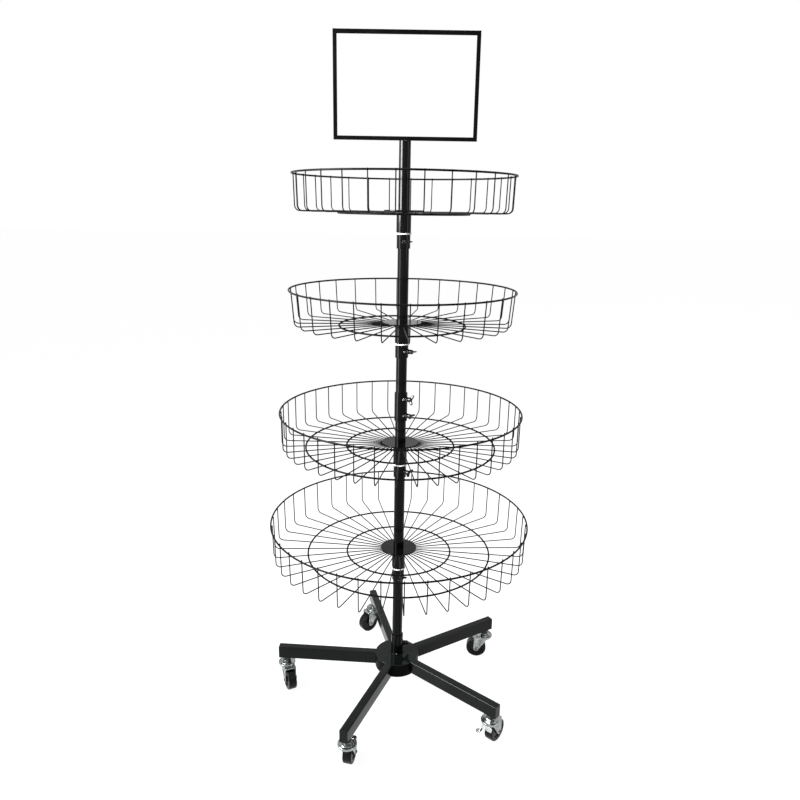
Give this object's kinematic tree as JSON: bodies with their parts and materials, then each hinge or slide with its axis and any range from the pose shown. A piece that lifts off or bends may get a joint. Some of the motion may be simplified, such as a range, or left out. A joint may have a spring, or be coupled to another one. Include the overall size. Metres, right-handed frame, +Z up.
{
  "type": "tiered wire basket display",
  "caption": "Floor stand with round wire baskets that turn on clamped collars along a tube pole, an empty sign frame on top and a rolling base with braked casters",
  "frame": {"origin": "on the floor, on the pole's axis, which is the bottom centre of the bounding box", "axes": "+Z up along the pole, -Y the side that the sign frame faces, +X to the right seen from the front"},
  "size_m": [0.6163, 0.616, 1.5573],
  "materials": {
    "gloss_black_tube": "gloss",
    "charcoal_powder_coat": "satin",
    "black_wire_coat": "satin",
    "zinc_plate": "satin",
    "black_nut": "satin",
    "wing_head": "matte",
    "white_nylon": "satin",
    "wheel_rubber": "matte"
  },
  "bodies": {
    "base": {"base_drum": "charcoal_powder_coat", "base_top_plate": "charcoal_powder_coat", "base_socket": "gloss_black_tube", "legs": "charcoal_powder_coat", "leg_end_caps": "charcoal_powder_coat", "weld_nuts": "black_nut", "caster_stems": "zinc_plate", "caster_balls": "zinc_plate", "lower_pole": "gloss_black_tube", "upper_pole": "gloss_black_tube", "coupling_sleeve": "gloss_black_tube"},
    "base_screw": {"base_wing_screw": "wing_head"},
    "sleeve_lower_screw": {"sleeve_lower_wing_screw": "wing_head"},
    "sleeve_upper_screw": {"sleeve_upper_wing_screw": "wing_head"},
    "tier_1": {"tier_1_collar": "gloss_black_tube", "tier_1_washer": "white_nylon"},
    "tier_1_screw": {"tier_1_wing_screw": "wing_head"},
    "basket_1": {"basket_1_rim": "black_wire_coat", "basket_1_wires": "black_wire_coat", "basket_1_floor_rings": "black_wire_coat", "basket_1_hub": "charcoal_powder_coat"},
    "tier_2": {"tier_2_collar": "gloss_black_tube", "tier_2_washer": "white_nylon"},
    "tier_2_screw": {"tier_2_wing_screw": "wing_head"},
    "basket_2": {"basket_2_rim": "black_wire_coat", "basket_2_wires": "black_wire_coat", "basket_2_floor_rings": "black_wire_coat", "basket_2_hub": "charcoal_powder_coat"},
    "tier_3": {"tier_3_collar": "gloss_black_tube", "tier_3_washer": "white_nylon"},
    "tier_3_screw": {"tier_3_wing_screw": "wing_head"},
    "basket_3": {"basket_3_rim": "black_wire_coat", "basket_3_wires": "black_wire_coat", "basket_3_floor_rings": "black_wire_coat", "basket_3_hub": "charcoal_powder_coat"},
    "tier_4": {"tier_4_collar": "gloss_black_tube", "tier_4_washer": "white_nylon"},
    "tier_4_screw": {"tier_4_wing_screw": "wing_head"},
    "basket_4": {"basket_4_rim": "black_wire_coat", "basket_4_wires": "black_wire_coat", "basket_4_floor_rings": "black_wire_coat", "basket_4_hub": "charcoal_powder_coat"},
    "sign": {"sign_frame": "gloss_black_tube"},
    "right_caster": {"right_caster_fork": "zinc_plate", "right_caster_axle": "zinc_plate"},
    "right_wheel": {"right_caster_wheel": "wheel_rubber"},
    "rear_caster": {"rear_caster_fork": "zinc_plate", "rear_caster_axle": "zinc_plate"},
    "rear_wheel": {"rear_caster_wheel": "wheel_rubber"},
    "rear_brake": {"rear_brake_lever": "zinc_plate"},
    "left_caster": {"left_caster_fork": "zinc_plate", "left_caster_axle": "zinc_plate"},
    "left_wheel": {"left_caster_wheel": "wheel_rubber"},
    "front_left_caster": {"front_left_caster_fork": "zinc_plate", "front_left_caster_axle": "zinc_plate"},
    "front_left_wheel": {"front_left_caster_wheel": "wheel_rubber"},
    "front_right_caster": {"front_right_caster_fork": "zinc_plate", "front_right_caster_axle": "zinc_plate"},
    "front_right_wheel": {"front_right_caster_wheel": "wheel_rubber"},
    "front_right_brake": {"front_right_brake_lever": "zinc_plate"}
  },
  "joints": [
    {"name": "base_screw_turn", "type": "hinge", "parent": "base", "child": "base_screw", "pos_m": [0.02445, 0.0052, 0.1365], "axis": [0.9781, 0.2079, 0], "range_deg": [0, 270]},
    {"name": "sleeve_lower_screw_turn", "type": "hinge", "parent": "base", "child": "sleeve_lower_screw", "pos_m": [0.02097, -0.01362, 0.7485], "axis": [0.8387, -0.5446, 0], "range_deg": [0, 270]},
    {"name": "sleeve_upper_screw_turn", "type": "hinge", "parent": "base", "child": "sleeve_upper_screw", "pos_m": [0.02097, -0.01362, 0.7875], "axis": [0.8387, -0.5446, 0], "range_deg": [0, 270]},
    {"name": "tier_1_slide", "type": "slide", "parent": "base", "child": "tier_1", "axis": [0, 0, 1], "range_m": [-0.075, 0.125]},
    {"name": "tier_1_screw_turn", "type": "hinge", "parent": "tier_1", "child": "tier_1_screw", "pos_m": [0.00647, -0.02415, 1.141], "axis": [0.2588, -0.9659, 0], "range_deg": [0, 270]},
    {"name": "basket_1_spin", "type": "hinge", "parent": "tier_1", "child": "basket_1", "pos_m": [0, 0, 1.159], "axis": [0, 0, 1], "continuous": true},
    {"name": "tier_2_slide", "type": "slide", "parent": "base", "child": "tier_2", "axis": [0, 0, 1], "range_m": [-0.075, 0.075]},
    {"name": "tier_2_screw_turn", "type": "hinge", "parent": "tier_2", "child": "tier_2_screw", "pos_m": [0.02165, -0.0125, 0.899], "axis": [0.866, -0.5, 0], "range_deg": [0, 270]},
    {"name": "basket_2_spin", "type": "hinge", "parent": "tier_2", "child": "basket_2", "pos_m": [0, 0, 0.917], "axis": [0, 0, 1], "continuous": true},
    {"name": "tier_3_slide", "type": "slide", "parent": "base", "child": "tier_3", "axis": [0, 0, 1], "range_m": [-0.08, 0.045]},
    {"name": "tier_3_screw_turn", "type": "hinge", "parent": "tier_3", "child": "tier_3_screw", "pos_m": [0.0197, -0.01539, 0.61], "axis": [0.788, -0.6157, 0], "range_deg": [0, 270]},
    {"name": "basket_3_spin", "type": "hinge", "parent": "tier_3", "child": "basket_3", "pos_m": [0, 0, 0.628], "axis": [0, 0, 1], "continuous": true},
    {"name": "tier_4_slide", "type": "slide", "parent": "base", "child": "tier_4", "axis": [0, 0, 1], "range_m": [-0.15, 0.08]},
    {"name": "tier_4_screw_turn", "type": "hinge", "parent": "tier_4", "child": "tier_4_screw", "pos_m": [0.00855, -0.02349, 0.338], "axis": [0.342, -0.9397, 0], "range_deg": [0, 270]},
    {"name": "basket_4_spin", "type": "hinge", "parent": "tier_4", "child": "basket_4", "pos_m": [0, 0, 0.356], "axis": [0, 0, 1], "continuous": true},
    {"name": "sign_turn", "type": "hinge", "parent": "base", "child": "sign", "pos_m": [0, 0, 1.3473], "axis": [0, 0, 1], "continuous": true},
    {"name": "right_caster_swivel", "type": "hinge", "parent": "base", "child": "right_caster", "pos_m": [0.24312, 0.15251, 0.06], "axis": [0, 0, 1], "continuous": true},
    {"name": "right_wheel_roll", "type": "hinge", "parent": "right_caster", "child": "right_wheel", "pos_m": [0.22224, 0.15471, 0.027], "axis": [-0.1045, -0.9945, 0], "continuous": true},
    {"name": "rear_caster_swivel", "type": "hinge", "parent": "base", "child": "rear_caster", "pos_m": [-0.06992, 0.27835, 0.06], "axis": [0, 0, 1], "continuous": true},
    {"name": "rear_wheel_roll", "type": "hinge", "parent": "rear_caster", "child": "rear_wheel", "pos_m": [-0.08624, 0.26514, 0.027], "axis": [0.6293, -0.7771, 0], "continuous": true},
    {"name": "rear_brake_press", "type": "hinge", "parent": "rear_caster", "child": "rear_brake", "pos_m": [-0.07458, 0.27458, 0.048], "axis": [-0.6293, 0.7771, 0], "range_deg": [0, 16.5]},
    {"name": "left_caster_swivel", "type": "hinge", "parent": "base", "child": "left_caster", "pos_m": [-0.28634, 0.01952, 0.06], "axis": [0, 0, 1], "continuous": true},
    {"name": "left_wheel_roll", "type": "hinge", "parent": "left_caster", "child": "left_wheel", "pos_m": [-0.2768, 0.00081, 0.027], "axis": [0.891, 0.454, 0], "continuous": true},
    {"name": "front_left_caster_swivel", "type": "hinge", "parent": "base", "child": "front_left_caster", "pos_m": [-0.10705, -0.26629, 0.06], "axis": [0, 0, 1], "continuous": true},
    {"name": "front_left_wheel_roll", "type": "hinge", "parent": "front_left_caster", "child": "front_left_wheel", "pos_m": [-0.10268, -0.24575, 0.027], "axis": [-0.9781, 0.2079, 0], "continuous": true},
    {"name": "front_right_caster_swivel", "type": "hinge", "parent": "base", "child": "front_right_caster", "pos_m": [0.22018, -0.1841, 0.06], "axis": [0, 0, 1], "continuous": true},
    {"name": "front_right_wheel_roll", "type": "hinge", "parent": "front_right_caster", "child": "front_right_wheel", "pos_m": [0.23367, -0.16801, 0.027], "axis": [-0.766, 0.6428, 0], "continuous": true},
    {"name": "front_right_brake_press", "type": "hinge", "parent": "front_right_caster", "child": "front_right_brake", "pos_m": [0.22403, -0.1795, 0.048], "axis": [0.766, -0.6428, 0], "range_deg": [0, 16.5]}
  ]
}
